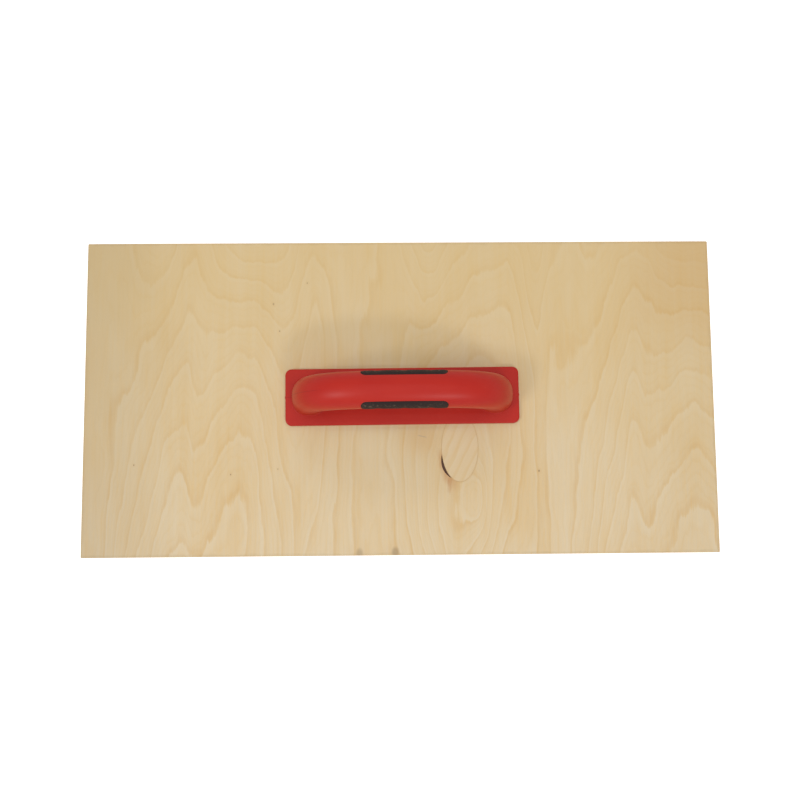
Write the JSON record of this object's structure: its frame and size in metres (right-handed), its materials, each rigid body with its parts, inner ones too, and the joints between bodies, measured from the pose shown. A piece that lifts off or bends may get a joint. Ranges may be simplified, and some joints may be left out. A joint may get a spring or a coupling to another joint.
{
  "type": "plywood hand float",
  "caption": "Rectangular birch plywood hand float with an arched moulded handle on an oblong plate and a soft grip let into its bar.",
  "frame": {"origin": "centre of the board's working face, on the surface it rests on", "axes": "+X along the board's length, +Y across it, +Z from the working face up through the handle"},
  "size_m": [0.5, 0.25, 0.0706],
  "materials": {
    "face_veneer": "bare sanded birch, satin",
    "core_veneer": "bare sawn birch edges",
    "moulded_red": "semi-matte moulded",
    "soft_black": "matte, fine texture",
    "zinc_steel": "zinc plated"
  },
  "bodies": {
    "root": {"ply_1": "face_veneer", "ply_2": "core_veneer", "ply_3": "core_veneer", "ply_4": "core_veneer", "ply_5": "core_veneer", "ply_6": "core_veneer", "ply_7": "face_veneer", "veneer_patch": "face_veneer", "handle_body": "moulded_red", "soft_grip": "soft_black", "left_front_screw": "zinc_steel", "left_back_screw": "zinc_steel", "right_front_screw": "zinc_steel", "right_back_screw": "zinc_steel"}
  },
  "joints": []
}
